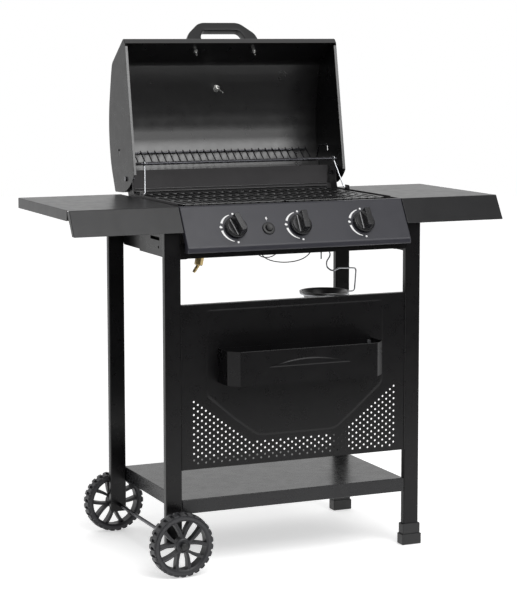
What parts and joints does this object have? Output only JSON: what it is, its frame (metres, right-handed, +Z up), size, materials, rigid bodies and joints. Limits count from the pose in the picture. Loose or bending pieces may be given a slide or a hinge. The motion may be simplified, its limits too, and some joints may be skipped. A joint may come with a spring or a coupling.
{
  "type": "gas barbecue grill",
  "caption": "Trolley gas barbecue with hinged lid, folded-sheet side tables on a tube frame, sloped control panel, perforated front panel with tool tray, and a wheeled end.",
  "frame": {"origin": "on the floor, midway between the four legs", "axes": "+X to the right seen from the front, -Y to the front where the knobs are, +Z up"},
  "size_m": [1.111, 0.589, 1.2848],
  "materials": {
    "frame_paint": "satin black powder coat",
    "foot_plastic": "moulded black plastic",
    "zinc_steel": "zinc plated",
    "wheel_plastic": "moulded black plastic",
    "firebox_enamel": "semi-gloss black enamel",
    "burner_steel": "plain steel",
    "white_ceramic": "glazed white",
    "grate_enamel": "black enamel",
    "panel_paint": "satin dark grey paint",
    "brass": "machined",
    "knob_plastic": "polished black plastic",
    "lead_rubber": "smooth black sleeve",
    "lid_enamel": "semi-gloss black enamel",
    "grip_plastic": "fine textured black plastic",
    "chrome_wire": "bright plated wire",
    "dial_steel": "plain steel"
  },
  "bodies": {
    "trolley": {"leg_front_left": "frame_paint", "leg_front_right": "frame_paint", "leg_back_left": "frame_paint", "leg_back_right": "frame_paint", "foot_front": "foot_plastic", "foot_back": "foot_plastic", "side_rail_left": "frame_paint", "side_rail_right": "frame_paint", "cross_rail_front": "frame_paint", "cross_rail_back": "frame_paint", "table_left": "frame_paint", "table_right": "frame_paint", "front_panel": "frame_paint", "tool_tray": "frame_paint", "bottom_shelf": "frame_paint", "frame_bolts": "zinc_steel", "axle": "zinc_steel", "axle_caps": "wheel_plastic", "firebox_front": "firebox_enamel", "firebox_back": "firebox_enamel", "firebox_left": "firebox_enamel", "firebox_right": "firebox_enamel", "firebox_floor": "firebox_enamel", "burner_1": "burner_steel", "burner_2": "burner_steel", "burner_3": "burner_steel", "heat_tent_1": "burner_steel", "heat_tent_2": "burner_steel", "heat_tent_3": "burner_steel", "electrode": "white_ceramic", "control_panel": "panel_paint", "valves": "brass", "manifold": "burner_steel", "gas_inlet": "brass", "igniter_body": "knob_plastic", "igniter_lead": "lead_rubber", "earth_lead": "lead_rubber", "hinge_bolts": "zinc_steel", "cup_holder": "chrome_wire"},
    "lid": {"lid_shell": "lid_enamel", "lid_end_left": "lid_enamel", "lid_end_right": "lid_enamel", "lid_handle": "grip_plastic", "thermometer": "dial_steel"},
    "swing_leg_left": {"swing_leg_left": "chrome_wire"},
    "swing_leg_right": {"swing_leg_right": "chrome_wire"},
    "warming_rack": {"warming_rack": "chrome_wire"},
    "valve_stem_1": {"valve_stem_1": "zinc_steel"},
    "valve_stem_2": {"valve_stem_2": "zinc_steel"},
    "valve_stem_3": {"valve_stem_3": "zinc_steel"},
    "knob_1": {"knob_1": "knob_plastic"},
    "knob_2": {"knob_2": "knob_plastic"},
    "knob_3": {"knob_3": "knob_plastic"},
    "igniter_button": {"igniter_button": "knob_plastic"},
    "wheel_front": {"wheel_front": "wheel_plastic"},
    "wheel_back": {"wheel_back": "wheel_plastic"},
    "grate_left": {"grate_left": "grate_enamel"},
    "grate_right": {"grate_right": "grate_enamel"},
    "grease_cup": {"grease_cup": "firebox_enamel"}
  },
  "joints": [
    {"name": "lid_hinge", "type": "hinge", "parent": "trolley", "child": "lid", "pos_m": [0, 0.178, 0.898], "axis": [1, 0, 0], "range_deg": [0, 100.4]},
    {"name": "swing_leg_left_pivot", "type": "hinge", "parent": "trolley", "child": "swing_leg_left", "pos_m": [-0.2703, 0.093, 0.866], "axis": [1, 0, 0], "range_deg": [-0.5, 95.5]},
    {"name": "swing_leg_right_pivot", "type": "hinge", "parent": "trolley", "child": "swing_leg_right", "pos_m": [0.2703, 0.093, 0.866], "axis": [1, 0, 0], "range_deg": [-0.5, 95.5]},
    {"name": "warming_rack_pivot", "type": "hinge", "parent": "swing_leg_left", "child": "warming_rack", "pos_m": [0, 0.13, 0.938], "axis": [1, 0, 0], "range_deg": [-89.5, 0.5]},
    {"name": "valve_stem_1_push", "type": "slide", "parent": "trolley", "child": "valve_stem_1", "axis": [0, 0.8609, -0.5087], "range_m": [0, 0.004], "stiffness_N_per_m": 900, "springref_m": -0.004},
    {"name": "knob_1_turn", "type": "hinge", "parent": "valve_stem_1", "child": "knob_1", "pos_m": [-0.161, -0.21552, 0.80634], "axis": [0, -0.8609, 0.5087], "range_deg": [-17, 163]},
    {"name": "valve_stem_2_push", "type": "slide", "parent": "trolley", "child": "valve_stem_2", "axis": [0, 0.8609, -0.5087], "range_m": [0, 0.004], "stiffness_N_per_m": 900, "springref_m": -0.004},
    {"name": "knob_2_turn", "type": "hinge", "parent": "valve_stem_2", "child": "knob_2", "pos_m": [0.005, -0.21552, 0.80634], "axis": [0, -0.8609, 0.5087], "range_deg": [0, 180]},
    {"name": "valve_stem_3_push", "type": "slide", "parent": "trolley", "child": "valve_stem_3", "axis": [0, 0.8609, -0.5087], "range_m": [0, 0.004], "stiffness_N_per_m": 900, "springref_m": -0.004},
    {"name": "knob_3_turn", "type": "hinge", "parent": "valve_stem_3", "child": "knob_3", "pos_m": [0.171, -0.21552, 0.80634], "axis": [0, -0.8609, 0.5087], "range_deg": [0, 180]},
    {"name": "igniter_button_push", "type": "slide", "parent": "trolley", "child": "igniter_button", "axis": [0, 0.8609, -0.5087], "range_m": [0, 0.005], "stiffness_N_per_m": 1500, "springref_m": -0.004},
    {"name": "wheel_front_spin", "type": "hinge", "parent": "trolley", "child": "wheel_front", "pos_m": [-0.313, -0.248, 0.076], "axis": [0, 1, 0], "continuous": true},
    {"name": "wheel_back_spin", "type": "hinge", "parent": "trolley", "child": "wheel_back", "pos_m": [-0.313, 0.226, 0.076], "axis": [0, 1, 0], "continuous": true},
    {"name": "grate_left_lift", "type": "slide", "parent": "trolley", "child": "grate_left", "axis": [0, 0, 1], "range_m": [0, 0.008]},
    {"name": "grate_right_lift", "type": "slide", "parent": "trolley", "child": "grate_right", "axis": [0, 0, 1], "range_m": [0, 0.008]},
    {"name": "grease_cup_lift", "type": "slide", "parent": "trolley", "child": "grease_cup", "axis": [0, 0, 1], "range_m": [0, 0.03]}
  ],
  "couplings": [
    {"joint": "swing_leg_left_pivot", "follows": "lid_hinge", "ratio": 0.9459},
    {"joint": "swing_leg_right_pivot", "follows": "lid_hinge", "ratio": 0.9459},
    {"joint": "warming_rack_pivot", "follows": "lid_hinge", "ratio": -0.8824}
  ]
}
